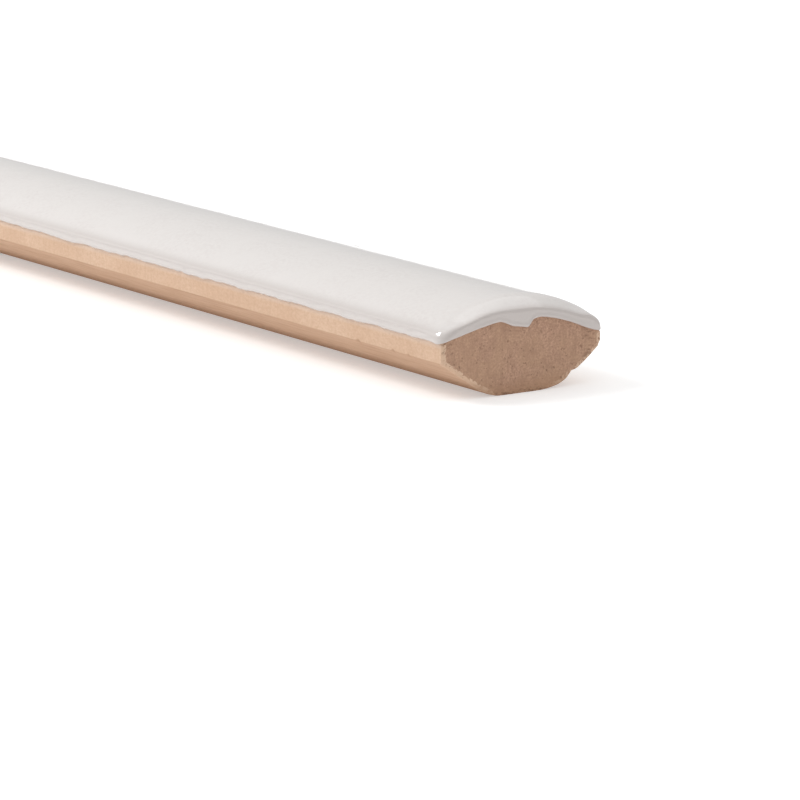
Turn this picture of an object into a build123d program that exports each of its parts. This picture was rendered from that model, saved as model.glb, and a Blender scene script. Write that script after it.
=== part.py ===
from build123d import *

import math
import os

# Pencil liner tile: a domed ceramic trim strip with a tapered bed and a thick white glaze.
# The strip lies on its bed, with its length along X, its width along Y and the bed at Z = 0.
# The clay body is one pressed and fired bar. The glaze is a coat with a thickness of its own:
# it rolls over the top arrises, hangs a short way down the flanks and ends, and stops in a lip.
# All sizes are in millimetres.

# Overall sizes, over the glaze.
TILE_LENGTH = 203.0
TILE_WIDTH = 19.0
TILE_HEIGHT = 9.3
CROWN_RADIUS = 17.5

# Glaze thickness on each kind of surface.
GLAZE_ON_CROWN = 0.5
GLAZE_ON_FLANK = 0.3
GLAZE_ON_END = 0.35

# Clay section below the dome: the bed, and the flanks between the tapers and the shoulders.
BED_WIDTH = 6.8
BED_CORNER_RADIUS = 3.0
FLANK_HEIGHT = 2.3
FLANK_FOOT_RADIUS = 0.3

# Arrises of the clay: the roll at the top of each end, then the shoulders and end corners.
CLAY_END_ROLL = 1.0
CLAY_ARRIS_RADIUS = 0.5

# The same arrises over the glaze, and the rounding of the lip that the glaze stops in.
GLAZE_END_ROLL = 1.6
GLAZE_ARRIS_RADIUS = 0.9
GLAZE_LIP_RADIUS = 0.2

# How far the glaze hangs down each flank below its rounded shoulder.
FRONT_GLAZE_SKIRT = 0.31
BACK_GLAZE_SKIRT = 0.81

# The band of glaze on each end: its depth below the crown, and where and how it meets the flank lines.
END_BAND_DEPTH = 1.95
END_BAND_INSET = 1.6
END_BAND_BLEND = 1.5

# The run of glaze that hangs from the band at one end.
RUN_DEPTH = 0.95
RUN_TOP_WIDTH = 3.6
RUN_FOOT_WIDTH = 1.9
RUN_OFFSET = -0.3
RUN_BLEND = 0.45

# How far cutting shapes reach past the tile, and how close two places count as one.
CUT_MARGIN = 3.0
TOLERANCE = 1e-4

clay_length = TILE_LENGTH - 2 * GLAZE_ON_END
clay_width = TILE_WIDTH - 2 * GLAZE_ON_FLANK
crown_centre_height = TILE_HEIGHT - CROWN_RADIUS


def crown_height(across, radius):
    """Height above the bed of a crown arc, at a distance from the centre line."""
    return crown_centre_height + math.sqrt(radius**2 - across**2)


def domed_bar(under, width, radius, length):
    """A bar along X, from an underside outline that runs from the back shoulder to the front one."""
    half = width / 2
    shoulder = crown_height(half, radius)
    outline = Polyline((half, shoulder), *under, (-half, shoulder))
    outline += ThreePointArc((-half, shoulder), (0, crown_height(0, radius)), (half, shoulder))
    return extrude(Plane.YZ * make_face(outline), amount=length / 2, both=True)


def long_edges(bar, height):
    """The edges along X at a height."""
    return bar.edges().filter_by(Axis.X).filter_by(lambda e: abs(e.center().Z - height) < TOLERANCE)


def roll_arrises(bar, width, radius, end_roll, arris_radius):
    """Rolls the top edge of both ends, then rounds the shoulders and the corners they run into."""
    shoulder = crown_height(width / 2, radius)
    across = bar.edges().filter_by(GeomType.CIRCLE).filter_by(lambda e: e.center().Z > shoulder)
    bar = fillet(across, end_roll)
    return fillet(long_edges(bar, shoulder), arris_radius)


def make_clay_body():
    """The clay bar: bed, tapers and flanks, and the dome that lies under the glaze."""
    bed = BED_WIDTH / 2
    half = clay_width / 2
    radius = CROWN_RADIUS - GLAZE_ON_CROWN
    foot = crown_height(half, radius) - FLANK_HEIGHT
    bar = domed_bar([(half, foot), (bed, 0), (-bed, 0), (-half, foot)], clay_width, radius, clay_length)
    bar = fillet(long_edges(bar, 0), BED_CORNER_RADIUS)
    bar = fillet(long_edges(bar, foot), FLANK_FOOT_RADIUS)
    return roll_arrises(bar, clay_width, radius, CLAY_END_ROLL, CLAY_ARRIS_RADIUS)


def make_glaze_outside():
    """A solid bar with the outer surface of the glaze, down to the bed."""
    half = TILE_WIDTH / 2
    bar = domed_bar([(half, 0), (-half, 0)], TILE_WIDTH, CROWN_RADIUS, TILE_LENGTH)
    return roll_arrises(bar, TILE_WIDTH, CROWN_RADIUS, GLAZE_END_ROLL, GLAZE_ARRIS_RADIUS)


def flank_lines():
    """Heights above the bed at which the glaze stops on the front flank and on the back one."""
    slope = math.asin(TILE_WIDTH / 2 / CROWN_RADIUS)
    rounding_drop = GLAZE_ARRIS_RADIUS * math.tan(math.pi / 4 - slope / 2)
    rounding_foot = crown_height(TILE_WIDTH / 2, CROWN_RADIUS) - rounding_drop
    return rounding_foot - FRONT_GLAZE_SKIRT, rounding_foot - BACK_GLAZE_SKIRT


def above_flank_lines():
    """The region above the flank lines, drawn with Y across and Z up."""
    front_line, back_line = flank_lines()
    reach = TILE_WIDTH / 2 + CUT_MARGIN
    top = TILE_HEIGHT + CUT_MARGIN
    front = Pos(-reach / 2, (top + front_line) / 2) * Rectangle(reach, top - front_line)
    back = Pos(reach / 2, (top + back_line) / 2) * Rectangle(reach, top - back_line)
    return front + back


def run_outline():
    """The run: narrowest at its foot, and drawn on up into the band with the same slope."""
    foot = TILE_HEIGHT - END_BAND_DEPTH - RUN_DEPTH
    slope = (RUN_TOP_WIDTH - RUN_FOOT_WIDTH) / 2 / RUN_DEPTH
    foot_half = RUN_FOOT_WIDTH / 2
    top_half = foot_half + slope * (TILE_HEIGHT - foot)
    return make_face(
        Polyline(
            (RUN_OFFSET - foot_half, foot),
            (RUN_OFFSET + foot_half, foot),
            (RUN_OFFSET + top_half, TILE_HEIGHT),
            (RUN_OFFSET - top_half, TILE_HEIGHT),
            close=True,
        )
    )


def above_end_line(has_run):
    """The region above the lower edge of the glaze on an end: an arc between the flank lines."""
    front_line, back_line = flank_lines()
    reach = TILE_WIDTH / 2 + CUT_MARGIN
    top = TILE_HEIGHT + CUT_MARGIN
    meeting = TILE_WIDTH / 2 - END_BAND_INSET
    band = ThreePointArc((-meeting, front_line), (0, TILE_HEIGHT - END_BAND_DEPTH), (meeting, back_line))
    outline = Polyline((meeting, back_line), (reach, back_line), (reach, top), (-reach, top))
    outline += Polyline((-reach, top), (-reach, front_line), (-meeting, front_line))
    region = make_face(outline + band)
    meetings = region.vertices().filter_by(lambda v: abs(v.X) < TILE_WIDTH / 2)
    region = fillet(meetings, END_BAND_BLEND)
    if has_run:
        region += run_outline()
        corners = region.vertices().filter_by(lambda v: abs(v.X - RUN_OFFSET) < RUN_TOP_WIDTH)
        region = fillet(corners, RUN_BLEND)
    return region


def lip_edges(block):
    """The outer edges of the undersides that the glaze lines cut, all round the block."""

    def is_outside(edge):
        middle = edge.position_at(0.5)
        past_x = max(abs(middle.X) - (TILE_LENGTH / 2 - GLAZE_ARRIS_RADIUS), 0)
        past_y = max(abs(middle.Y) - (TILE_WIDTH / 2 - GLAZE_ARRIS_RADIUS), 0)
        return math.hypot(past_x, past_y) > 0.9 * GLAZE_ARRIS_RADIUS

    undersides = block.faces().filter_by(lambda f: f.normal_at().Z < -0.1)
    return undersides.edges().filter_by(is_outside)


def make_glaze_coat(clay):
    """The glaze: its outside bar, cut off at the glaze lines, with a rounded lip, less the clay."""
    half = clay_length / 2
    along = extrude(Plane.YZ * above_flank_lines(), amount=half, both=True)
    run_end = extrude(Plane.YZ.offset(half) * above_end_line(True), amount=CUT_MARGIN)
    plain_end = extrude(Plane.YZ.offset(-half) * above_end_line(False), amount=-CUT_MARGIN)
    block = make_glaze_outside() & (along + run_end + plain_end)
    block = fillet(lip_edges(block), GLAZE_LIP_RADIUS)
    return block - clay


clay_body = make_clay_body()
glaze_coat = make_glaze_coat(clay_body)

os.makedirs("parts", exist_ok=True)
export_step(clay_body, "parts/clay_body.step")
export_step(glaze_coat, "parts/glaze_coat.step")
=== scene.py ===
"""A pencil liner tile: a domed strip of fired clay under a thick white glaze.

The clay bar and its glaze coat are modelled in millimetres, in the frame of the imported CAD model, and
brought to metres when each mesh is finished. X runs along the tile towards the end with the glaze run,
Y across it towards the back flank, and Z up from the bed.
"""

import logging
import math
from collections.abc import Iterable, Mapping, Sequence
from dataclasses import dataclass
from enum import Enum

import bmesh
import bpy
from bmesh.types import BMEdge, BMesh, BMLayerItem, BMVert
from bpy.types import Material, NodeSocket, Object
from mathutils import Matrix, Vector, noise


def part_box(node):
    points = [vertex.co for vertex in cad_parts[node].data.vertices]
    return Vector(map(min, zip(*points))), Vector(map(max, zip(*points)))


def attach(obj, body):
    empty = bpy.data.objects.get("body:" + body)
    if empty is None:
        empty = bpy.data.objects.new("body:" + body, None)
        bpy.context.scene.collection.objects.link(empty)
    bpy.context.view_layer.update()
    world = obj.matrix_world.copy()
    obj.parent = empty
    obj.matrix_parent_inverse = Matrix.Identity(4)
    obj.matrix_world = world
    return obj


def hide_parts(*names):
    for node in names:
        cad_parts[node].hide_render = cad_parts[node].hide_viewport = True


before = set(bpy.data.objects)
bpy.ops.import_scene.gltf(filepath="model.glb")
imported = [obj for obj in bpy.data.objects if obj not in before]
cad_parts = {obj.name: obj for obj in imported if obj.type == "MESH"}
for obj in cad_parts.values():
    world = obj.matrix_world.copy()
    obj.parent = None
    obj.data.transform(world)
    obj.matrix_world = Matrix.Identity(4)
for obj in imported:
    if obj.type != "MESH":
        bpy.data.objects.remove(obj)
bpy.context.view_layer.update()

MILLIMETRE = 0.001
# Places closer to a rim than this lie on it.
ON_RIM = 1e-3
# Brings the peak of share**2 * (1 - share) up to 1.
HUMP = 6.75

Pair = tuple[float, float]
Triple = tuple[float, float, float]
Colour = tuple[float, float, float, float]
Feed = NodeSocket | Sequence[float] | float
Feeds = Mapping[str | int, Feed]

log = logging.getLogger("liner_tile")


def smooth_step(low: float, high: float, value: float) -> float:
    """Rises smoothly from 0 at low to 1 at high."""
    share = min(max((value - low) / (high - low), 0.0), 1.0)
    return share * share * (3.0 - 2.0 * share)


def fading(low: float, high: float, value: float) -> float:
    """Falls smoothly from 1 at low to 0 at high."""
    return 1.0 - smooth_step(low, high, value)


def mixed(start: float, end: float, share: float) -> float:
    """The value that lies a share of the way from start to end."""
    return start + (end - start) * share


def ripple(place: float, wavelength: float, seed: float) -> float:
    """Smooth noise along a line, between about -1 and 1."""
    return noise.noise(Vector((place / wavelength, seed, 0.5 * seed)))


def lumps(point: Vector, size: float, shift: Triple = (0.0, 0.0, 0.0)) -> float:
    """Smooth noise in space with features of a size, between about -1 and 1."""
    return noise.noise(point / size + Vector(shift))


def eased_corner(first: float, second: float, radius: float) -> Pair:
    """Rounds a square corner.

    Args:
        first: how far in from one face a point lies.
        second: how far in from the other face it lies.
        radius: the radius of the rounding.

    Returns:
        How far in from both faces the point lies once the corner is rounded.
    """
    if first >= radius or second >= radius:
        return first, second
    over = Vector((radius - first, radius - second))
    moved = over.normalized() * max(over)
    return radius - moved.x, radius - moved.y


def even_steps(start: float, end: float, count: int) -> list[float]:
    """The places along a number of even steps, both ends included."""
    return [mixed(start, end, step / count) for step in range(count + 1)]


def node_size(name: str) -> Vector:
    """The size of a CAD node's box, in millimetres."""
    low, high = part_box(name)
    return (Vector(high) - Vector(low)) / MILLIMETRE


def lay_grid(mesh: BMesh, along: Sequence[float], across: Sequence[float]) -> list[BMVert]:
    """Lays a flat grid with its lines where they are asked for.

    Args:
        mesh: the mesh that gets the grid.
        along: places of the lines across X.
        across: places of the lines across Y.

    Returns:
        The grid's vertices.
    """
    grid = bmesh.ops.create_grid(mesh, x_segments=len(along) - 1, y_segments=len(across) - 1, size=1.0)
    for vert in grid["verts"]:
        column = round((vert.co.x + 1.0) / 2.0 * (len(along) - 1))
        row = round((vert.co.y + 1.0) / 2.0 * (len(across) - 1))
        vert.co = (along[column], across[row], 0.0)
    return grid["verts"]


def rim_edges(verts: Iterable[BMVert]) -> list[BMEdge]:
    """The open edges round a sheet of faces."""
    edges = {edge for vert in verts for edge in vert.link_edges}
    return [edge for edge in edges if edge.is_boundary]


def pull_ring(mesh: BMesh, edges: list[BMEdge]) -> tuple[list[BMEdge], dict[BMVert, BMVert]]:
    """Extrudes a ring of open edges, with the new ring still in the old one's place.

    Args:
        mesh: the mesh that the edges belong to.
        edges: the open edges.

    Returns:
        The new ring's edges, and the old vertex under each new one.
    """
    made = bmesh.ops.extrude_edge_only(mesh, edges=edges)["geom"]
    fresh = {part for part in made if isinstance(part, BMVert)}
    ring = [part for part in made if isinstance(part, BMEdge) and set(part.verts) <= fresh]
    below = {}
    for vert in fresh:
        ends = (edge.other_vert(vert) for edge in vert.link_edges)
        below[vert] = next(end for end in ends if end not in fresh)
    return ring, below


class Body(Enum):
    """The bodies that pieces ride on."""

    TILE = "root"


class Slot(Enum):
    """The record's material slots."""

    CLAY = "clay"
    GLAZE = "glaze"


def place_mesh(mesh: BMesh, name: str, material: Material) -> Object:
    """Puts a mesh in the scene.

    Args:
        mesh: the mesh in metres, which is freed.
        name: the name of the object.
        material: its material.

    Returns:
        The object.
    """
    data = bpy.data.meshes.new(name)
    mesh.to_mesh(data)
    mesh.free()
    data.materials.append(material)
    placed = bpy.data.objects.new(name, data)
    bpy.context.scene.collection.objects.link(placed)
    return placed


def finish_piece(mesh: BMesh, name: str, replaced: str, material: Material) -> Object:
    """Turns a finished mesh into a piece of the tile.

    Args:
        mesh: the mesh in millimetres, which is freed.
        name: the piece's name.
        replaced: the CAD node that the piece stands for.
        material: the piece's material.

    Returns:
        The new object.
    """
    bmesh.ops.recalc_face_normals(mesh, faces=mesh.faces)
    bmesh.ops.scale(mesh, vec=(MILLIMETRE,) * 3, verts=mesh.verts)
    for face in mesh.faces:
        face.smooth = True
    piece = place_mesh(mesh, name, material)
    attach(piece, Body.TILE.value)
    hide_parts(replaced)
    return piece


@dataclass(frozen=True)
class TileSection:
    """The tile's cross-section: what the clay and the glaze share."""

    glaze_length: float
    glaze_width: float
    glaze_height: float
    clay_length: float
    clay_width: float
    clay_height: float
    glaze_crown_radius: float = 17.5
    bed_width: float = 7.3
    bed_corner_radius: float = 5.0
    flank_height: float = 2.37
    back_swell: float = 0.27

    @classmethod
    def from_frame(cls) -> "TileSection":
        """Reads the overall sizes from the CAD nodes."""
        glaze, clay = node_size("glaze_coat"), node_size("clay_body")
        return cls(glaze.x, glaze.y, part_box("glaze_coat")[1][2] / MILLIMETRE, clay.x, clay.y, clay.z)

    def crown(self, across: float, radius: float) -> float:
        """Height of a dome over the bed, at a distance from the centre line."""
        return self.glaze_height - self.glaze_crown_radius + math.sqrt(radius**2 - across**2)

    def glaze_crown(self, across: float) -> float:
        """Height of the glaze's dome."""
        return self.crown(across, self.glaze_crown_radius)

    def clay_crown(self, across: float) -> float:
        """Height of the clay's dome, on the same centre as the glaze's."""
        return self.crown(across, self.glaze_crown_radius - (self.glaze_height - self.clay_height))

    @property
    def glaze_half(self) -> "BySide":
        """Half the width and half the length over the glaze."""
        return BySide(self.glaze_width / 2, self.glaze_length / 2)

    @property
    def foot(self) -> float:
        """Height at which the flanks stand on the tapers."""
        return self.clay_crown(self.clay_width / 2) - self.flank_height

    @property
    def taper(self) -> float:
        """Slope of the tapers, as an angle."""
        return math.atan2(self.foot, self.clay_width / 2 - self.bed_width / 2)

    def underside(self, across: float) -> float:
        """Height of the clay's underside: the bed, its rounded corner and the taper.

        Args:
            across: distance from the centre line, towards the back flank.

        Returns:
            The height above the bed.
        """
        away = abs(across)
        bed, radius, slope = self.bed_width / 2, self.bed_corner_radius, self.taper
        round_start = bed - radius * math.tan(slope / 2)
        if away <= round_start:
            return 0.0
        share = (away - round_start) / (self.clay_width / 2 - round_start)
        swell = self.back_swell * HUMP * share**2 * (1.0 - share) if across > 0.0 else 0.0
        if away > round_start + radius * math.sin(slope):
            return (away - bed) * math.tan(slope) - swell
        return radius - math.sqrt(radius**2 - (away - round_start) ** 2) - swell


@dataclass(frozen=True)
class Spot:
    """A place on a piece, seen from above."""

    point: Vector
    outward: Vector
    distance: float
    from_end: float
    from_side: float

    @property
    def side(self) -> int:
        """The number of the place's half: 0 for the front and 1 for the back."""
        return 0 if self.point.y < 0.0 else 1

    @property
    def from_corner(self) -> float:
        """Distance from the nearest corner, as if it were square."""
        return math.hypot(self.from_end, self.from_side)

    @property
    def turn(self) -> float:
        """How far the way out has turned, from 0 towards a flank to 1 towards an end."""
        return smooth_step(0.0, 1.0, math.atan2(abs(self.outward.x), abs(self.outward.y)) / (math.pi / 2))


@dataclass(frozen=True)
class Plan:
    """A rectangle with rounded corners, seen from above."""

    half_length: float
    half_width: float
    corners: Pair

    def place(self, along: float, across: float) -> Spot:
        """Moves a point of the sharp rectangle into the rounded one.

        Args:
            along: the point's X.
            across: the point's Y.

        Returns:
            The moved point, and where it lies from the rim.
        """
        from_end = self.half_length - abs(along)
        from_side = self.half_width - abs(across)
        distance = min(from_end, from_side)
        outward = Vector((1.0, 0.0)) if from_end < from_side else Vector((0.0, 1.0))
        corner = self.corners[0 if across < 0.0 else 1]
        if max(from_end, from_side) < corner:
            outward = Vector((corner - from_end, corner - from_side)).normalized()
        from_end, from_side = eased_corner(from_end, from_side, corner)
        signs = Vector((math.copysign(1.0, along), math.copysign(1.0, across)))
        point = signs * Vector((self.half_length - from_end, self.half_width - from_side))
        return Spot(point, signs * outward, distance, from_end, from_side)


@dataclass(frozen=True)
class Spacing:
    """How the lines of a grid are spaced between two ends.

    The spacing changes at stops, which are measured in from the low end, from the middle, and in from
    the high end. The steps are counted from each stop to the next.
    """

    low: tuple[float, ...]
    middle: tuple[float, ...]
    high: tuple[float, ...]
    steps: tuple[int, ...]

    def places(self, half: float) -> list[float]:
        """Lays the lines out.

        Args:
            half: half the distance between the ends.

        Returns:
            The lines' places, in order.
        """
        stops = [inset - half for inset in self.low] + [*self.middle] + [half - inset for inset in self.high]
        places = stops[:1]
        for start, end, count in zip(stops, stops[1:], self.steps):
            places += even_steps(start, end, count)[1:]
        return places


@dataclass(frozen=True)
class BySide:
    """A size that differs between the flanks and the ends."""

    flank: float
    end: float

    def at(self, spot: Spot) -> float:
        """The size at a place, which changes smoothly round a corner."""
        return mixed(self.flank, self.end, spot.turn)


@dataclass(frozen=True)
class GlazeLines:
    """The heights above the bed at which the glaze stops, for the front and the back where there are two."""

    half_length: float
    flanks: Pair = (5.68, 5.20)
    flank_rises: Pair = (0.03, 0.0)
    rise_reach: float = 22.0
    flank_seeds: Pair = (3.0, 11.0)
    band: float = 7.35
    band_falls: Pair = (0.0218, 0.0328)
    end_sides: Pair = (5.88, 5.12)
    end_seeds: Pair = (23.0, 37.0)
    end_calm: float = 0.2
    corner_softness: float = 0.28
    run_left: Pair = (-2.9, -0.75)
    run_right: Pair = (0.5, 1.25)
    run_shoulder: Pair = (0.9, 2.2)
    run_shoulder_share: float = 0.25
    run_depth: Pair = (0.78, 0.97)
    run_foot: Pair = (-0.9, 0.5)
    waves: tuple[Pair, ...] = ((0.12, 14.0), (0.11, 4.3), (0.11, 1.7), (0.10, 0.7))

    def wavering(self, place: float, seed: float) -> float:
        """How far a line wanders from its true height at a place along it."""
        return sum(size * ripple(place, length, seed + length) for size, length in self.waves)

    def flank(self, spot: Spot) -> float:
        """Height of the line along a flank.

        Args:
            spot: a place beside the line.

        Returns:
            The height of the lip there.
        """
        rise = smooth_step(0.0, self.rise_reach, self.half_length - abs(spot.point.x))
        return (
            self.flanks[spot.side]
            + self.flank_rises[spot.side] * rise
            + self.wavering(spot.point.x, self.flank_seeds[spot.side])
        )

    def end(self, spot: Spot) -> float:
        """Height of the line across an end.

        Args:
            spot: a place beside the line.

        Returns:
            The height of the lower edge of the band there, the run included.
        """
        across, has_run = spot.point.y, spot.point.x > 0.0
        soft = self.corner_softness
        arc = self.band - self.band_falls[spot.side] * across**2
        line = soft * math.log(math.exp(arc / soft) + math.exp(self.end_sides[spot.side] / soft))
        line += self.end_calm * self.wavering(across, self.end_seeds[0 if has_run else 1])
        if has_run:
            depth = mixed(*self.run_depth, smooth_step(*self.run_foot, across))
            shoulder = smooth_step(*self.run_shoulder, across)
            fade = mixed(smooth_step(*self.run_right, across), shoulder, self.run_shoulder_share)
            line -= depth * smooth_step(*self.run_left, across) * (1.0 - fade)
        return line


@dataclass(frozen=True)
class RimPoint:
    """A place on the glaze's rim, where the dome turns down into the skirt."""

    spot: Spot
    top: float
    lip: float


@dataclass(frozen=True)
class Ease:
    """A fall of the glaze towards an edge: it steepens, then runs straight to the edge."""

    depth: float
    reach: float
    straight: float = 0.0

    def drop(self, distance: float) -> float:
        """How far the glaze has fallen.

        Args:
            distance: the distance from the edge.

        Returns:
            The fall below the dome.
        """
        share = max(0.0, 1.0 - distance / self.reach)
        bend = 1.0 - self.straight
        fallen = share**2 / (2.0 * bend) if share < bend else share - bend / 2.0
        return self.depth * fallen / (1.0 - bend / 2.0)


@dataclass(frozen=True)
class Growth:
    """A share that grows smoothly to its full amount between two distances."""

    amount: float
    low: float
    high: float

    def at(self, distance: float) -> float:
        """The share at a distance."""
        return self.amount * smooth_step(self.low, self.high, distance)


@dataclass(frozen=True)
class Undulation:
    """Slow waves in the glaze: their length each way, their seed and their share of the whole."""

    along: float
    across: float
    seed: float
    share: float

    def at(self, point: Vector) -> float:
        """The height of the waves at a place, between about -1 and 1 times their share."""
        return self.share * noise.noise(Vector((point.x / self.along, point.y / self.across, self.seed)))


@dataclass(frozen=True)
class Pimple:
    """A tiny bump in the glaze."""

    along: float
    across: float
    radius: float
    height: float

    def rise(self, point: Vector) -> float:
        """How far the bump stands up at a place."""
        return self.height * fading(0.0, self.radius, math.hypot(point.x - self.along, point.y - self.across))


@dataclass(frozen=True)
class Corner:
    """How round, full and smooth a corner of the glaze is, and how far its skirt is tucked in."""

    radius: float
    reach: float
    fullness: float
    roll: float
    smoothness: float
    tuck: float

    def share(self, spot: Spot) -> float:
        """How much a place belongs to the corner."""
        return math.exp(-((spot.from_corner / self.reach) ** 2))


@dataclass(frozen=True)
class Facet:
    """A small flat on the thick corner beside the run, which catches the light."""

    slope_along: float
    slope_across: float
    depth: float
    softness: float
    reach: float

    def cut(self, heights: dict[BMVert, float], points: dict[BMVert, Vector]) -> None:
        """Cuts the glaze down to the flat, with a soft edge.

        Args:
            heights: the height of the glaze at each vertex, which is changed.
            points: the places of the vertices near the flat.
        """
        slopes = self.slope_along, self.slope_across
        planes = {vert: place.x * slopes[0] + place.y * slopes[1] for vert, place in points.items()}
        top = max(heights[vert] - plane for vert, plane in planes.items()) - self.depth
        for vert, plane in planes.items():
            crossing = max(self.softness - abs(heights[vert] - (top + plane)), 0.0) / self.softness
            heights[vert] = min(heights[vert], top + plane) - crossing**2 * self.softness / 4.0


@dataclass(frozen=True)
class GlazeCoat:
    """The glaze: a domed shell that rolls over the arrises and hangs in a skirt with a rounded lip.

    The skirt's rings have an inset from its widest place and a rise over the lip, each for the flanks
    and for the ends.
    """

    section: TileSection
    lines: GlazeLines
    stations: Spacing = Spacing((0.0, 0.6, 2.5), (-8.0, 44.0), (2.5, 0.5, 0.0), (8, 6, 40, 96, 190, 12, 9))
    columns: Spacing = Spacing((0.0, 0.5, 1.5), (-3.0, 2.2), (1.5, 0.5, 0.0), (8, 5, 9, 34, 10, 5, 8))
    corners: tuple[Corner, Corner] = (
        Corner(0.95, 1.6, 0.8, 0.75, 1.0, 0.0),
        Corner(0.4, 1.4, 0.3, 0.35, 0.0, 0.85),
    )
    crease: BySide = BySide(0.25, 0.05)
    filled_distance: float = 4.0
    filled_corner: Pair = (1.0, 4.2)
    roll: BySide = BySide(0.14, 0.20)
    side_eases: tuple[Ease, Ease] = (Ease(0.10, 1.5), Ease(0.40, 1.4))
    end_ease: Ease = Ease(1.14, 2.9, 0.33)
    least_ease: float = 0.2
    least_skirt: float = 0.34
    front_fullness: tuple[Growth, ...] = (Growth(0.33, 0.0, 5.0), Growth(0.2, 7.5, 9.2))
    back_fullness: Growth = Growth(0.4, 6.3, 8.8)
    front_widening: Growth = Growth(0.35, 3.0, 8.0)
    glint: Facet = Facet(-0.357, 1.141, 0.05, 0.04, 2.0)
    cover: BySide = BySide(0.35, 0.40)
    lining_sink: float = 0.05
    lining_rise: float = 0.02
    swell: float = 0.018
    undulations: tuple[Undulation, ...] = (Undulation(9.0, 5.0, 4.0, 0.7), Undulation(2.6, 2.0, 9.0, 0.3))
    calm_rim: float = 1.5
    pimples: tuple[Pimple, ...] = (Pimple(63.8, 6.2, 0.6, 0.14), Pimple(85.0, -1.2, 0.35, 0.02))
    skirt_insets: tuple[Pair, ...] = (
        (0.25, 0.05), (0.21, 0.05), (0.12, 0.04), (0.05, 0.03), (0.01, 0.015),
        (0.0, 0.01), (0.03, 0.02), (0.10, 0.07), (0.23, 0.18),
    )
    skirt_rises: tuple[Pair, ...] = (
        (0.66, 0.62), (0.59, 0.54), (0.50, 0.45), (0.40, 0.35), (0.32, 0.26),
        (0.25, 0.17), (0.16, 0.08), (0.07, 0.02), (0.0, 0.0),
    )
    squeezed: float = 0.95
    upper_steps: int = 4
    bead_level: int = 5
    # Share of the thin colour: thin glaze at the arrises, and painted shade over the skirts.
    thinness_and_shade: BySide = BySide(0.78, 1.0)
    thin_reach: BySide = BySide(0.66, 0.45)
    lip_thickening: float = 0.08
    thick_level: int = 3

    def filling(self, spot: Spot) -> float:
        """How much of the crease under the arris is filled up at a place."""
        return self.corners[spot.side].smoothness * fading(*self.filled_corner, spot.from_corner)

    def undulation(self, point: Vector) -> float:
        """The slow swell of a fired glaze surface, and the bumps in it."""
        waves = sum(wave.at(point) for wave in self.undulations)
        return self.swell * (waves - 1.0) + sum(pimple.rise(point) for pimple in self.pimples)

    def fall(self, spot: Spot) -> float:
        """How far the eased and rolled arrises have dropped below the dome.

        Args:
            spot: a place on the dome.

        Returns:
            The drop there.
        """
        across, corner = spot.point.y, self.corners[spot.side]
        room = self.section.glaze_crown(across) - self.lines.end(spot) - self.least_skirt
        share = min(1.0, max(self.least_ease, room / (self.end_ease.depth + self.roll.end)))
        on_corner = corner.share(spot)
        radius = mixed(self.roll.flank, self.roll.end * share, spot.turn) + corner.roll * on_corner
        left = min(max(radius - spot.distance, 0.0), radius)
        rolled = radius - math.sqrt(radius**2 - left**2)
        fullness = self.back_fullness.at(across) + sum(part.at(-across) for part in self.front_fullness)
        widened = 1.0 + self.front_widening.at(-across)
        eased = share * self.end_ease.drop(spot.from_end / widened) * (1.0 - fullness)
        eased += self.side_eases[spot.side].drop(spot.from_side)
        return eased * (1.0 - corner.fullness * on_corner) + rolled

    def lay_dome(self, mesh: BMesh, half: BySide, inset: BySide) -> dict[BMVert, Spot]:
        """Lays the grid of a dome.

        Args:
            mesh: the mesh that gets the grid.
            half: half the width and half the length that the grid's lines are spaced for.
            inset: how far in from them the grid is drawn.

        Returns:
            Where each vertex lies.
        """
        length, width = half.end - inset.end, half.flank - inset.flank
        plan = Plan(length, width, tuple(corner.radius for corner in self.corners))
        along = [place * length / half.end for place in self.stations.places(half.end)]
        across = [place * width / half.flank for place in self.columns.places(half.flank)]
        return {vert: plan.place(vert.co.x, vert.co.y) for vert in lay_grid(mesh, along, across)}

    def make_cap(self, mesh: BMesh, thin_and_shade: BMLayerItem) -> dict[BMVert, RimPoint]:
        """Makes the outer dome with its rolled arrises.

        Args:
            mesh: the mesh that gets the dome.
            thin_and_shade: the vertex layer that holds how thin the glaze is, and so how much painted shade
                it gets.

        Returns:
            What the skirt needs to know at each vertex of the rim.
        """
        half = self.section.glaze_half
        half = BySide(half.flank - self.crease.flank, half.end - self.crease.end)
        spots = self.lay_dome(mesh, half, BySide(0.0, 0.0))
        crown = self.section.glaze_crown
        heights = {vert: crown(spot.point.y) - self.fall(spot) for vert, spot in spots.items()}
        knob = {vert: spot for vert, spot in spots.items() if spot.point.x > 0.0 and spot.side == 0}
        near = {vert: spot.point for vert, spot in knob.items() if spot.from_corner < self.glint.reach}
        self.glint.cut(heights, near)
        rim = {}
        for vert, spot in spots.items():
            top = heights[vert] + self.undulation(spot.point) * smooth_step(0.0, self.calm_rim, spot.distance)
            filled = self.filling(spot) * fading(0.0, self.filled_distance, spot.distance)
            vert.co = (*(spot.point + spot.outward * self.crease.at(spot) * filled), top)
            # How thin the glaze is over the rolled arrises; its colour is also painted shade on the shoulder
            # band.
            vert[thin_and_shade] = self.thinness_and_shade.at(spot) * math.exp(-((spot.distance / self.thin_reach.at(spot)) ** 2))
            if spot.distance < ON_RIM:
                lip = mixed(self.lines.flank(spot), self.lines.end(spot), spot.turn)
                rim[vert] = RimPoint(spot, top, lip)
        return rim

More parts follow.
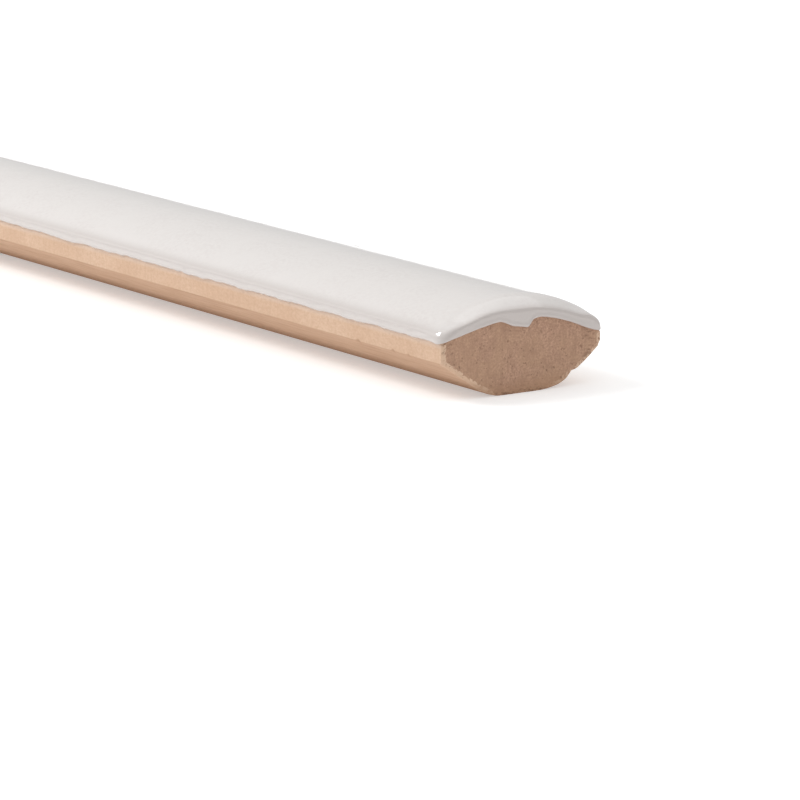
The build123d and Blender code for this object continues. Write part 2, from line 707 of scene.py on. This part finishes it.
    def skirt_point(self, place: RimPoint, level: int, share: float) -> Vector:
        """Finds a point of the skirt.

        Args:
            place: the place of the rim that it hangs from.
            level: the number of the skirt's level below it.
            share: how far down from the rim to that level it lies.

        Returns:
            The point.
        """
        spot, corner = place.spot, self.corners[place.spot.side]
        tallest, rise = (mixed(*self.skirt_rises[ring], spot.turn) for ring in (0, level))
        squeeze = min(1.0, self.squeezed * (place.top - place.lip) / tallest)
        inset = mixed(*self.skirt_insets[level], spot.turn)
        inset *= 1.0 - self.filling(spot) if level < self.bead_level else 1.0
        out = (self.crease.at(spot) - inset) * (1.0 - corner.tuck * corner.share(spot))
        height = mixed(place.top, place.lip + squeeze * rise, share)
        return Vector((*(spot.point + spot.outward * out), height))

    def make_skirt(self, mesh: BMesh, rim: dict[BMVert, RimPoint], thin_and_shade: BMLayerItem) -> list[BMEdge]:
        """Hangs the skirt from the rim: a crease under the arris, the lip, and the way in to the clay.

        Args:
            mesh: the mesh that holds the dome.
            rim: the dome's rim.
            thin_and_shade: the vertex layer that holds how thin the glaze is, and so how much painted shade
                it gets.

        Returns:
            The last ring, which lies inside the face of the clay.
        """
        ring = rim_edges(rim)
        steps = [(0, step / self.upper_steps) for step in range(1, self.upper_steps)]
        steps += [(level, 1.0) for level in range(len(self.skirt_rises))]
        for level, share in steps:
            ring, below = pull_ring(mesh, ring)
            rim = {vert: rim[old] for vert, old in below.items()}
            thickened = self.lip_thickening if level >= self.thick_level else 0.0
            for vert, place in rim.items():
                vert.co = self.skirt_point(place, level, share)
                # The skirt's thin colour is painted shade: full on the end skirt, less on the flank's lip
                # bead.
                vert[thin_and_shade] = mixed(self.thinness_and_shade.flank - thickened, self.thinness_and_shade.end, place.spot.turn)
        ring, below = pull_ring(mesh, ring)
        for vert, old in below.items():
            place, out = rim[old], rim[old].spot.outward
            covered = Vector((out.x * self.cover.end, out.y * self.cover.flank))
            moved = place.spot.point + out * self.crease.at(place.spot) - covered
            vert.co = (*moved, place.lip + self.lining_rise)
        return ring

    def make_lining(self, mesh: BMesh) -> dict[BMVert, Spot]:
        """Makes the inner dome, just inside the face of the clay.

        Args:
            mesh: the mesh that gets the dome.

        Returns:
            Where each of its vertices lies.
        """
        spots = self.lay_dome(mesh, self.section.glaze_half, self.cover)
        for vert, spot in spots.items():
            height = self.section.clay_crown(spot.point.y) - self.lining_sink - self.fall(spot)
            vert.co = (*spot.point, height)
        bmesh.ops.reverse_faces(mesh, faces=list({face for vert in spots for face in vert.link_faces}))
        return spots

    def build(self, finish: "GlazeFinish") -> Object:
        """Builds the coat.

        Args:
            finish: the glaze's finish.

        Returns:
            The finished piece.
        """
        mesh = bmesh.new()
        thin_and_shade = mesh.verts.layers.float.new("thin_and_shade")
        lip = self.make_skirt(mesh, self.make_cap(mesh, thin_and_shade), thin_and_shade)
        bmesh.ops.bridge_loops(mesh, edges=lip + rim_edges(self.make_lining(mesh)))
        return finish_piece(mesh, "tile_glaze", "glaze_coat", finish.material())


@dataclass(frozen=True)
class Nick:
    """A chip out of the edge where the front flank meets its taper."""

    along: float
    length: float
    depth: float
    height: float = 0.3

    def strike(self, along: float, above: float) -> float:
        """How deep the nick is at a place, from its X and its height over the edge."""
        away = math.hypot((along - self.along) / self.length, above / self.height)
        return self.depth * fading(0.0, 1.0, away)


@dataclass(frozen=True)
class Arris:
    """How an arris of a cut end is worn, and how pale it is left: partly by wear, partly as a painted
    highlight.
    """

    radius: float
    chips: float = 0.0
    swell: float = 0.0
    wear_and_highlight: float = 0.0

    def towards(self, other: "Arris", share: float) -> "Arris":
        """An arris between this one and another."""
        own, others = vars(self), vars(other)
        return Arris(**{name: mixed(own[name], others[name], share) for name in own})


@dataclass(frozen=True)
class ClayBar:
    """The clay bar: a dense skin over the section, worn at its arrises and rough on its cut ends.

    The arrises lose wide chips and small crumbs, each so much off the side and off the end, and swell
    in lumps. Covers and feet are given for the front and then for the back.
    """

    section: TileSection
    stations: Spacing = Spacing((0.0, 2.0), (8.0, 84.0), (1.2, 0.0), (10, 30, 84, 72, 11))
    cell: float = 0.16
    cell_height: float = 0.2
    merged_share: float = 0.05
    grain: float = 0.03
    grain_lift: float = 0.8
    grain_sizes: Pair = (0.5, 0.2)
    fine_grain: float = 0.6
    fine_shift: Triple = (7.0, 0.0, 0.0)
    end_face: float = 0.01
    shoulder_radius: float = 0.5
    foot_radii: Pair = (0.07, 0.35)
    back_bulge: float = 0.10
    bulge_height: float = 0.8
    bulge_reach: Pair = (0.2, 1.1)
    bulge_edge: int = 6
    front_arris: Arris = Arris(0.28, 0.10, 0.0, 1.0)
    taper_arris: Arris = Arris(0.42, 0.13, 0.0, 1.0)
    front_blend: Pair = (-0.6, 0.2)
    bed_arris: Arris = Arris(0.06, 0.04, 0.05, 0.0)
    bed_blend: Pair = (-0.8, 0.4)
    back_arris: Arris = Arris(0.08, 0.13, 0.10, 0.35)
    covered: tuple[Arris, Arris] = (Arris(0.7), Arris(0.4))
    covered_from: Pair = (5.5, 4.9)
    covered_blend: float = 0.3
    crown_arris: Arris = Arris(1.55)
    shoulder_arris: Arris = Arris(0.8)
    chip_reach: float = 0.6
    chip_size: float = 1.3
    chip_shift: Triple = (2.0, 0.0, 0.0)
    chip_from: float = 0.08
    chip_off: BySide = BySide(1.4, 0.5)
    crumb_size: float = 0.42
    crumb_off: BySide = BySide(0.9, 1.1)
    lump_size: float = 0.9
    lump_shift: Triple = (0.0, 4.0, 1.0)
    nicks: tuple[Nick, ...] = (Nick(86.9, 0.45, 0.15), Nick(92.9, 0.4, 0.14), Nick(95.5, 0.3, 0.12))
    nick_reach: float = 0.6
    nick_way: Triple = (0.0, 0.8, 0.4)

    def make_end(self, mesh: BMesh, along: float) -> list[BMVert]:
        """Makes an end face as a grid of small cells that fills the section.

        Args:
            mesh: the mesh that gets the face.
            along: the end's X.

        Returns:
            The face's vertices.
        """
        half = self.section.clay_width / 2
        across = even_steps(-half, half, round(2 * half / self.cell))
        up = even_steps(0.0, 1.0, round(self.section.clay_height / self.cell_height))
        verts = lay_grid(mesh, across, up)
        for vert in verts:
            low, high = self.section.underside(vert.co.x), self.section.clay_crown(vert.co.x)
            vert.co = (along, vert.co.x, mixed(low, high, vert.co.y))
        return verts

    def build(self, finish: "ClayFinish") -> Object:
        """Builds the bar.

        Args:
            finish: the clay's finish.

        Returns:
            The finished piece.
        """
        mesh = bmesh.new()
        worn = mesh.verts.layers.float.new("worn")
        struck = mesh.verts.layers.float.new("struck")
        half = self.section.clay_length / 2
        ring = rim_edges(self.make_end(mesh, half))
        for place in reversed(self.stations.places(half)[:-1]):
            ring, below = pull_ring(mesh, ring)
            for vert in below:
                vert.co.x = place
        self.make_end(mesh, -half)
        bmesh.ops.remove_doubles(mesh, verts=mesh.verts, dist=self.cell * self.merged_share)
        for vert in mesh.verts:
            vert[struck] = self.strike(vert.co)
            shaped = self.shaped(vert.co.copy())
            vert[worn] = shaped.w
            vert.co = shaped.xyz + Vector(self.nick_way) * vert[struck]
        return finish_piece(mesh, "tile_clay", "clay_body", finish.material())

    def strike(self, point: Vector) -> float:
        """How deep the nicks in the front foot edge are at a point of the sharp bar."""
        nicks = self.nicks if point.y <= self.nick_reach - self.section.clay_width / 2 else ()
        return sum((nick.strike(point.x, point.z - self.section.foot) for nick in nicks), 0.0)

    def soften_section(self, point: Vector) -> None:
        """Rounds the shoulders and the feet of the flanks.

        Args:
            point: a point of the sharp section, which is moved.
        """
        section, slope = self.section, self.section.taper
        half = section.clay_width / 2
        side = math.copysign(1.0, point.y)
        from_flank = half - abs(point.y)
        if side > 0.0:
            bulging = fading(*self.bulge_reach, abs(point.z - section.foot - self.bulge_height))
            point.y += self.back_bulge * bulging * (point.y / half) ** self.bulge_edge
        if point.z > section.foot + section.flank_height / 2:
            from_crown = section.clay_crown(point.y) - point.z
            new_flank, new_crown = eased_corner(from_flank, from_crown, self.shoulder_radius)
            point.y -= side * (new_flank - from_flank)
            point.z -= new_crown - from_crown
        else:
            from_taper = (point.z - section.underside(point.y)) * math.cos(slope)
            radius = self.foot_radii[0 if side < 0.0 else 1]
            new_flank, new_taper = eased_corner(from_flank, from_taper, radius)
            point.y -= side * (new_flank - from_flank + math.sin(slope) * (new_taper - from_taper))
            point.z += math.cos(slope) * (new_taper - from_taper)

    def nearest_side(self, point: Vector) -> tuple[float, Vector, Arris]:
        """Finds the side of the section that a point lies nearest to.

        Args:
            point: a point of the bar.

        Returns:
            How far inside that side the point lies, the way out in Y and Z, and the end arris there.
        """
        half, bed = self.section.clay_width / 2, self.section.bed_width / 2
        foot, slope = self.section.foot, self.section.taper
        side = math.copysign(1.0, point.y)
        is_taper = abs(point.y) > bed
        down = Vector((side * math.sin(slope), -math.cos(slope))) if is_taper else Vector((0.0, -1.0))
        half_number = 0 if side < 0.0 else 1
        beside, cover = self.back_arris, self.covered_from[half_number]
        if side < 0.0:
            on_flank = smooth_step(foot + self.front_blend[0], foot + self.front_blend[1], point.z)
            beside = self.taper_arris.towards(self.front_arris, on_flank)
        is_covered = smooth_step(cover, cover + self.covered_blend, point.z)
        beside = beside.towards(self.covered[half_number], is_covered)
        on_side = smooth_step(bed + self.bed_blend[0], bed + self.bed_blend[1], abs(point.y))
        over = self.crown_arris.towards(self.shoulder_arris, (point.y / half) ** 2)
        above = (point.z - self.section.underside(point.y)) * math.cos(slope)
        choices = (
            (half - abs(point.y), Vector((side, 0.0)), beside),
            (above, down, self.bed_arris.towards(beside, on_side)),
            (self.section.clay_crown(point.y) - point.z, Vector((0.0, 1.0)), over),
        )
        return min(choices, key=lambda choice: choice[0])

    def shaped(self, point: Vector) -> Vector:
        """Brings a point of the sharp bar to its place on the worn one.

        Args:
            point: the point on the bar with sharp edges, which is moved.

        Returns:
            The place, with how pale the worn clay is there as a fourth value: partly wear, partly painted
            highlight.
        """
        self.soften_section(point)
        way = math.copysign(1.0, point.x)
        from_end = self.section.clay_length / 2 - abs(point.x)
        depth, out, arris = self.nearest_side(point)
        depth = max(depth, 0.0)
        worn = fading(0.0, self.chip_reach, math.hypot(from_end, depth))
        push = Vector()
        if from_end < self.end_face:
            fine = self.fine_grain * lumps(point, self.grain_sizes[1], self.fine_shift)
            push.x -= way * self.grain * (self.grain_lift + (lumps(point, self.grain_sizes[0]) + fine))
        new_end, new_depth = eased_corner(from_end, depth, arris.radius)
        chip = max(lumps(point, self.chip_size, self.chip_shift) - self.chip_from, 0.0)
        crumb = max(lumps(point, self.crumb_size), 0.0)
        swollen = arris.swell * lumps(point, self.lump_size, self.lump_shift)
        off_side = self.chip_off.flank * chip + self.crumb_off.flank * crumb
        off_end = self.chip_off.end * chip + self.crumb_off.end * crumb
        slid = new_depth - depth + worn * (arris.chips * off_side - swollen)
        new_end += worn * arris.chips * off_end
        push -= Vector((way * (new_end - from_end), out.x * slid, out.y * slid))
        return Vector((*(point + push), worn * arris.wear_and_highlight))


@dataclass(frozen=True)
class Ramp:
    """Takes low to start and high to end, and holds the value between them."""

    low: float
    high: float
    start: float = 0.0
    end: float = 1.0


@dataclass(frozen=True)
class Cloud:
    """A cloudy pattern, or with raggedness a pattern of small holes, one to a cell.

    It has the size of its features or cells each way, their shift, its turn about X and its ramp.
    """

    sizes: Triple
    shift: Triple = (0.0, 0.0, 0.0)
    detail: float = 2.0
    roughness: float = 0.5
    tilt: float = 0.0
    raggedness: float = 0.0
    ramp: Ramp | None = None


class Recipe:
    """A material's node tree, built a node at a time."""

    def __init__(self, name: str) -> None:
        """Starts a material with a Principled shader.

        Args:
            name: the material's name.
        """
        self.material = bpy.data.materials.new(name)
        self.material.use_nodes = True
        self.tree = self.material.node_tree
        self.shader = self.tree.nodes["Principled BSDF"]
        self.place = self.add("TexCoord", "Object", {})

    def feed(self, node: bpy.types.Node, feeds: Feeds) -> None:
        """Fills a node's inputs.

        Args:
            node: the node.
            feeds: for each input, the socket that is linked to it or the value that it is set to.
        """
        for key, value in feeds.items():
            if isinstance(value, NodeSocket):
                self.tree.links.new(value, node.inputs[key])
            else:
                node.inputs[key].default_value = value

    def add(self, kind: str, wanted: str | int, feeds: Feeds, **settings: str) -> NodeSocket:
        """Adds a node.

        Args:
            kind: the node's type, less its usual prefix.
            wanted: the output that is wanted.
            feeds: what its inputs get.
            settings: its other settings.

        Returns:
            The output.
        """
        node = self.tree.nodes.new(f"ShaderNode{kind}")
        for name, value in settings.items():
            setattr(node, name, value)
        self.feed(node, feeds)
        return node.outputs[wanted]

    def cloud(self, cloud: Cloud) -> NodeSocket:
        """Makes a pattern on the object coordinates.

        Args:
            cloud: the kind of pattern.

        Returns:
            The strength of the clouds, or the depth of the holes.
        """
        place = self.place
        if cloud.tilt:
            place = self.add("Mapping", "Vector", {"Vector": place, "Rotation": (cloud.tilt, 0.0, 0.0)})
        scale = [1.0 / (size * MILLIMETRE) for size in cloud.sizes]
        place = self.add("Mapping", "Vector", {"Vector": place, "Scale": scale, "Location": cloud.shift})
        if cloud.raggedness:
            wander = self.add("TexNoise", "Color", {"Vector": place, "Scale": 2.0})
            feeds = {0: wander, 1: (cloud.raggedness,) * 3, 2: place}
            place = self.add("VectorMath", 0, feeds, operation="MULTIPLY_ADD")
            value = self.add("TexVoronoi", "Distance", {"Vector": place, "Scale": 1.0})
        else:
            feeds = {"Vector": place, "Scale": 1.0, "Detail": cloud.detail, "Roughness": cloud.roughness}
            value = self.add("TexNoise", "Fac", feeds)
        return self.spread(value, cloud.ramp) if cloud.ramp else value

    def spread(self, value: NodeSocket, ramp: Ramp) -> NodeSocket:
        """Takes a value through a ramp."""
        ends = {"From Min": ramp.low, "From Max": ramp.high, "To Min": ramp.start, "To Max": ramp.end}
        return self.add("MapRange", "Result", {"Value": value, **ends})

    def layered(self, colour: Feed, *layers: tuple[NodeSocket, Feed]) -> Feed:
        """Lays colours over one another.

        Args:
            colour: the lowest colour.
            layers: how much of each further colour there is, and the colour.

        Returns:
            The colour on top.
        """
        for share, over in layers:
            colour = self.add("Mix", 2, {0: share, 6: colour, 7: over}, data_type="RGBA")
        return colour

    def math(self, how: str, first: Feed, second: Feed) -> NodeSocket:
        """Does arithmetic on two values."""
        return self.add("Math", 0, {0: first, 1: second}, operation=how)

    def times(self, first: Feed, second: Feed) -> NodeSocket:
        """The product of two values."""
        return self.math("MULTIPLY", first, second)

    def layer(self, name: str) -> NodeSocket:
        """A value that the mesh holds at each vertex."""
        return self.add("Attribute", "Fac", {}, attribute_name=name)

    def along(self, axis: str, ramp: Ramp) -> NodeSocket:
        """Takes one of the object coordinates, in millimetres, through a ramp."""
        metres = Ramp(ramp.low * MILLIMETRE, ramp.high * MILLIMETRE, ramp.start, ramp.end)
        return self.spread(self.add("SeparateXYZ", axis, {0: self.place}), metres)

    def facing(self, axis: str) -> NodeSocket:
        """One axis of the surface normal, in the tile's own frame."""
        return self.add("SeparateXYZ", axis, {0: self.add("NewGeometry", "Normal", {})})

    def relief(self, height: NodeSocket, depth: float, under: NodeSocket | None = None) -> NodeSocket:
        """A bump of a depth in millimetres, over another one if given."""
        feeds = {"Strength": 1.0, "Distance": depth * MILLIMETRE, "Height": height}
        return self.add("Bump", "Normal", feeds | ({"Normal": under} if under else {}))


@dataclass(frozen=True)
class GlazeFinish:
    """A thick off-white gloss glaze with a faint mottle, thin and warmer over the arrises; that darker colour
    is also painted shade on the shoulder band, the lip bead and the end skirt.
    """

    body: Colour = (0.706, 0.674, 0.652, 1.0)
    mottle: Colour = (0.668, 0.628, 0.608, 1.0)
    # Colour of thin glaze over the arrises, also laid on as painted shade over the shoulder band, the lip
    # bead and the end skirt.
    thin_and_shade: Colour = (0.545, 0.498, 0.474, 1.0)
    speckle: Cloud = Cloud((0.4, 0.4, 0.4), detail=3.0, roughness=0.65, ramp=Ramp(0.42, 0.66))
    patches: Cloud = Cloud((5.0, 5.0, 5.0), ramp=Ramp(0.25, 0.65))
    peel: Cloud = Cloud((0.8, 0.8, 0.8))
    peel_depth: float = 0.006
    roughness: float = 0.08
    refraction: float = 1.6

    def material(self) -> Material:
        """Makes the glaze's material.

        Returns:
            The material.
        """
        recipe = Recipe("white_glaze")
        mottled = recipe.times(recipe.cloud(self.speckle), recipe.cloud(self.patches))
        colour = recipe.layered(self.body, (mottled, self.mottle), (recipe.layer("thin_and_shade"), self.thin_and_shade))
        normal = recipe.relief(recipe.cloud(self.peel), self.peel_depth)
        feeds = {"Base Color": colour, "Roughness": self.roughness, "IOR": self.refraction, "Normal": normal}
        recipe.feed(recipe.shader, feeds)
        return recipe.material


@dataclass(frozen=True)
class ClayFinish:
    """Dry bisque clay: sandy, striated on the flanks, and pored where the ends were cut, which are darker
    partly as painted shade. Painted shade also darkens the underside, the clay near the bed, the nicks and
    the pores; painted light lifts the band under the front glaze lip; pale worn arrises are partly painted
    highlight.

    Ramps along an axis are in millimetres. Facings are ramps of the way that the surface faces.
    """

    sand: Colour = (0.622, 0.432, 0.305, 1.0)
    pale: Colour = (0.660, 0.474, 0.344, 1.0)
    deep: Colour = (0.52, 0.335, 0.225, 1.0)
    # Dark brown for the smears on the underside and for painted shade near the bed and in the nicks.
    smear_and_shade: Colour = (0.40, 0.235, 0.145, 1.0)
    # Painted shade on the underside next to the bed.
    bottom_shade: Colour = (0.25, 0.13, 0.07, 1.0)
    # Paler tone just under the front glaze lip: a film of glaze, and painted light that lifts the lip's
    # shadow.
    lip_shade_lift: Colour = (0.74, 0.60, 0.51, 1.0)
    # Tones of the cut ends: their own grain and blotches, darker than the flanks partly as painted shade.
    cut: Colour = (0.352, 0.211, 0.146, 1.0)
    cut_pale_and_shade: Colour = (0.572, 0.360, 0.254, 1.0)
    cut_warm_and_shade: Colour = (0.47, 0.30, 0.194, 1.0)
    # Painted shade in the pores, the pits and the wire marks.
    pore_shade: Colour = (0.21, 0.12, 0.075, 1.0)
    roughness: float = 0.92
    specular: float = 0.2
    grain: Cloud = Cloud((0.36, 0.24, 0.22), detail=3.0, roughness=0.7)
    grain_deep: Ramp = Ramp(0.38, 0.66, 0.0, 0.54)
    grain_cut: Ramp = Ramp(0.34, 0.66)
    grain_depth: float = 0.045
    drift: Cloud = Cloud((6.0, 4.0, 4.0), detail=3.0)
    drift_pale: Ramp = Ramp(0.35, 0.65)
    drift_warm: Ramp = Ramp(0.4, 0.6, 0.0, 0.5)
    striae: Cloud = Cloud((0.36, 40.0, 5.0), detail=3.0, roughness=0.6)
    striae_deep: Ramp = Ramp(0.48, 0.75, 0.0, 0.3)
    striae_depth: float = 0.02
    facing_down: Ramp = Ramp(-0.2, -0.6)
    # Painted shade: share of the deep colour on surfaces that face down.
    under_shade: float = 0.68
    smears: Cloud = Cloud((6.0, 0.4, 0.4), (2.0, 0.0, 0.0), 3.0, 0.6, ramp=Ramp(0.42, 0.7, 0.0, 0.5))
    # Heights over which the painted shade on the underside deepens towards the bed.
    bottom_shade_height: Ramp = Ramp(1.8, 0.2)
    bottom_shade_power: float = 1.4
    # Painted shade on all faces close to the bed.
    bed_shade_height: Ramp = Ramp(1.7, 0.2)
    bed_shade_share: float = 0.65
    lip_lift_height: Ramp = Ramp(5.15, 5.6, 0.0, 0.55)
    facing_front: Ramp = Ramp(-0.6, -0.95)
    blotches: Cloud = Cloud((1.4, 0.8, 1.5), (5.0, 1.0, 2.0), ramp=Ramp(0.45, 0.7, 0.0, 0.45))
    strokes: Cloud = Cloud((1.0, 0.22, 3.0), (1.0, 3.0, 0.0), ramp=Ramp(0.5, 0.75, 0.0, 0.4))
    facing_end: Ramp = Ramp(0.55, 0.9)
    crumbs: Cloud = Cloud((0.26, 0.26, 0.26), (1.0, 2.0, 3.0), ramp=Ramp(0.4, 0.6, 0.3, 2.5))
    worn_edge: Ramp = Ramp(0.15, 0.35)
    worn_pale_and_highlight: float = 0.5
    worn_smooth: float = 0.8
    # Painted shade in the nicks of the front foot edge.
    nick_shade: Ramp = Ramp(0.0, 0.15, 0.0, 0.6)
    hole_depth: float = -0.06
    wire_marks: Cloud = Cloud((5.0, 0.9, 0.24), (0.0, 6.0, 0.0), ramp=Ramp(0.52, 0.64, 0.0, 0.7))
    wire_inner: Ramp = Ramp(7.1, 7.5)
    wire_outer: Ramp = Ramp(8.7, 8.3, 0.0, 0.75)
    slant_marks: Cloud = Cloud((5.0, 0.8, 0.2), tilt=math.radians(-40.0), ramp=Ramp(0.5, 0.6, 0.0, 0.8))
    slant_side: Ramp = Ramp(-8.0, -8.6, 0.0, 0.8)
    slant_height: Ramp = Ramp(4.5, 4.9)
    fine_pores: Cloud = Cloud((0.42, 0.38, 0.42), raggedness=0.5, ramp=Ramp(0.08, 0.26, 0.65, 0.0))
    coarse_pores: Cloud = Cloud(
        (1.15, 1.0, 1.15), (4.0, 7.0, 3.0), raggedness=0.7, ramp=Ramp(0.04, 0.15, 0.75, 0.0)
    )
    clusters: Cloud = Cloud((0.6, 0.6, 0.6), (3.0, 5.0, 1.0), ramp=Ramp(0.42, 0.56))
    pits: Cloud = Cloud((0.6, 0.7, 0.35), (2.0, 8.0, 1.0), ramp=Ramp(0.52, 0.62, 0.0, 0.8))
    pit_height: Ramp = Ramp(0.5, 0.15)
    end_pores: Ramp = Ramp(0.0, 1.0, 0.12, 1.0)

    def material(self) -> Material:
        """Makes the clay's material.

        Returns:
            The material.
        """
        recipe = Recipe("bisque_clay")
        grain, drift, striae = (recipe.cloud(cloud) for cloud in (self.grain, self.drift, self.striae))
        # How much a surface faces down; it carries painted shade on the underside.
        under = recipe.spread(recipe.facing("Z"), self.facing_down)
        bottom_shade_mask = recipe.math("POWER", recipe.along("Z", self.bottom_shade_height), self.bottom_shade_power)
        # Painted light under the front glaze lip, with a film of glaze.
        lip_lifted = recipe.times(
            recipe.along("Z", self.lip_lift_height), recipe.spread(recipe.facing("Y"), self.facing_front)
        )
        skin = recipe.layered(
            self.sand,
            (recipe.spread(drift, self.drift_pale), self.pale),
            (recipe.times(under, self.under_shade), self.deep),
            (recipe.spread(striae, self.striae_deep), self.deep),
            (recipe.spread(grain, self.grain_deep), self.deep),
            # Smear streaks on the underside, which also darken all of it a little as painted shade.
            (recipe.times(recipe.cloud(self.smears), under), self.smear_and_shade),
            # Painted shade on the underside, darker towards the bed.
            (recipe.times(bottom_shade_mask, under), self.bottom_shade),
            (lip_lifted, self.lip_shade_lift),
        )
        # The cut ends' colour, its darkness partly painted shade.
        shaded_cut_face = recipe.layered(
            self.cut_pale_and_shade,
            (recipe.spread(grain, self.grain_cut), self.cut),
            (recipe.spread(drift, self.drift_warm), self.cut_warm_and_shade),
            (recipe.cloud(self.blotches), self.cut),
            (recipe.cloud(self.strokes), self.cut),
        )
        on_end = recipe.spread(recipe.math("ABSOLUTE", recipe.facing("X"), 0.0), self.facing_end)
        ragged = recipe.times(recipe.layer("worn"), recipe.cloud(self.crumbs))
        worn = recipe.spread(ragged, self.worn_edge)
        unworn = recipe.math("SUBTRACT", 1.0, recipe.times(worn, self.worn_smooth))
        pores = recipe.times(self.pores(recipe, on_end), unworn)
        holes = recipe.math("MAXIMUM", pores, self.drag_marks(recipe, on_end))
        colour = recipe.layered(
            skin,
            # Pale worn arrises: worn clay, and a painted highlight on the front arrises.
            (recipe.times(worn, self.worn_pale_and_highlight), self.pale),
            (recipe.math("SUBTRACT", on_end, worn), shaded_cut_face),
            # Painted shade: every face darkens towards the bed.
            (recipe.times(recipe.along("Z", self.bed_shade_height), self.bed_shade_share), self.smear_and_shade),
            # Painted shade in the nicks of the front foot edge.
            (recipe.spread(recipe.layer("struck"), self.nick_shade), self.smear_and_shade),
            # Painted shade inside the pores, pits and wire marks.
            (holes, self.pore_shade),
        )
        lines = recipe.relief(striae, self.striae_depth, recipe.relief(grain, self.grain_depth))
        normal = recipe.relief(holes, self.hole_depth, lines)
        recipe.feed(recipe.shader, {"Base Color": colour, "Roughness": self.roughness, "Normal": normal})
        recipe.feed(recipe.shader, {"Specular IOR Level": self.specular})
        return recipe.material

    def drag_marks(self, recipe: Recipe, on_end: NodeSocket) -> NodeSocket:
        """Rows of short marks where the cutting wire left the clay, beside the flanks.

        Args:
            recipe: the material that gets them.
            on_end: how much a place belongs to a cut end.

        Returns:
            How deep in a mark each place is.
        """
        front = recipe.times(recipe.along("Y", self.slant_side), recipe.along("Z", self.slant_height))
        front = recipe.times(recipe.cloud(self.slant_marks), front)
        back = recipe.times(recipe.along("Y", self.wire_inner), recipe.along("Y", self.wire_outer))
        back = recipe.times(recipe.cloud(self.wire_marks), back)
        return recipe.times(recipe.math("MAXIMUM", front, back), on_end)

    def pores(self, recipe: Recipe, on_end: NodeSocket) -> NodeSocket:
        """Scatters small open pores, many on the cut ends and few elsewhere.

        Args:
            recipe: the material that gets them.
            on_end: how much a place belongs to a cut end.

        Returns:
            How much each place lies in one of the pores or pits.
        """
        fine = recipe.times(recipe.cloud(self.fine_pores), recipe.cloud(self.clusters))
        both = recipe.math("MAXIMUM", fine, recipe.cloud(self.coarse_pores))
        pits = recipe.times(recipe.cloud(self.pits), recipe.along("Z", self.pit_height))
        return recipe.times(recipe.math("MAXIMUM", both, pits), recipe.spread(on_end, self.end_pores))


@dataclass(frozen=True)
class Softbox:
    """A soft light, in metres and watts: its place from what it lights, and the way its height runs."""

    name: str
    place: Triple
    sides: Pair
    power: float
    upright: Triple = (0.0, 0.0, 1.0)

    def hang(self, lit: Vector) -> None:
        """Hangs the light.

        Args:
            lit: the place that it lights.
        """
        data = bpy.data.lights.new(self.name, "AREA")
        data.shape = "RECTANGLE"
        data.size, data.size_y = self.sides
        data.energy = self.power
        light = bpy.data.objects.new(self.name, data)
        light.location = lit + Vector(self.place)
        back = Vector(self.place).normalized()
        side = Vector(self.upright).cross(back).normalized()
        light.rotation_euler = Matrix((side, back.cross(side), back)).transposed().to_euler()
        bpy.context.scene.collection.objects.link(light)


@dataclass(frozen=True)
class Studio:
    """The floor, the soft lights and the camera, in metres and degrees."""

    floor_size: float = 3.0
    floor_colour: Colour = (0.70, 0.70, 0.70, 1.0)
    floor_roughness: float = 0.9
    floor_glow: float = 0.40
    white: Colour = (1.0, 1.0, 1.0, 1.0)
    sky: float = 0.57
    lit: Triple = (0.07, 0.0, 0.005)
    lights: tuple[Softbox, ...] = (
        Softbox("key", (-0.33, -0.33, 0.47), (0.25, 0.25), 2.2),
        Softbox("fill", (0.05, -0.79, 0.12), (0.8, 0.2), 0.25),
        Softbox("side", (-0.88, -0.47, 0.39), (0.5, 0.35), 0.3),
        Softbox("strip", (-0.03, 0.30, 0.51), (0.05, 1.1), 0.15, (0.426, -0.835, 0.518)),
        Softbox("overhead", (0.0, 0.3, 1.6), (2.4, 2.4), 10.0, (0.0, 1.0, 0.0)),
    )
    aim: Triple = (0.09953, -0.01286, 0.00054)
    camera_distance: float = 0.4342
    azimuth: float = 55.85
    elevation: float = 11.73
    lens: float = 208.3
    clip_start: float = 0.01

    def make_floor(self) -> None:
        """Lays the pale floor that the bed rests on, lit a little from below as a light table is."""
        mesh = bmesh.new()
        bmesh.ops.create_grid(mesh, x_segments=1, y_segments=1, size=self.floor_size / 2)
        recipe = Recipe("pale_floor")
        recipe.feed(recipe.shader, {"Base Color": self.floor_colour, "Roughness": self.floor_roughness})
        recipe.feed(recipe.shader, {"Emission Color": self.white, "Emission Strength": self.floor_glow})
        place_mesh(mesh, "floor", recipe.material)

    def make_camera(self) -> None:
        """Sets the camera where the near end of the tile shows its front flank and its run."""
        azimuth, elevation = math.radians(self.azimuth), math.radians(self.elevation)
        level = math.cos(elevation)
        back = Vector((math.sin(azimuth) * level, -math.cos(azimuth) * level, math.sin(elevation)))
        data = bpy.data.cameras.new("camera")
        data.lens = self.lens
        data.clip_start = self.clip_start
        camera = bpy.data.objects.new("camera", data)
        camera.location = Vector(self.aim) + back * self.camera_distance
        camera.rotation_euler = back.to_track_quat("Z", "Y").to_euler()
        bpy.context.scene.collection.objects.link(camera)
        bpy.context.scene.camera = camera

    def set_up(self) -> None:
        """Builds the whole studio."""
        scene = bpy.context.scene
        scene.view_settings.view_transform = "Standard"
        scene.world = bpy.data.worlds.new("soft_sky")
        scene.world.use_nodes = True
        background = scene.world.node_tree.nodes["Background"]
        background.inputs["Color"].default_value = self.white
        background.inputs["Strength"].default_value = self.sky
        self.make_floor()
        for light in self.lights:
            light.hang(Vector(self.lit))
        self.make_camera()


def main() -> None:
    """Builds the tile and the studio, in order."""
    logging.basicConfig(level=logging.INFO, format="%(name)s %(message)s")
    section = TileSection.from_frame()
    clay = ClayBar(section).build(ClayFinish())
    glaze = GlazeCoat(section, GlazeLines(section.glaze_length / 2)).build(GlazeFinish())
    for piece in (clay, glaze):
        log.info("%s: %d faces", piece.name, len(piece.data.polygons))
    Studio().set_up()


if __name__ == "__main__":
    main()
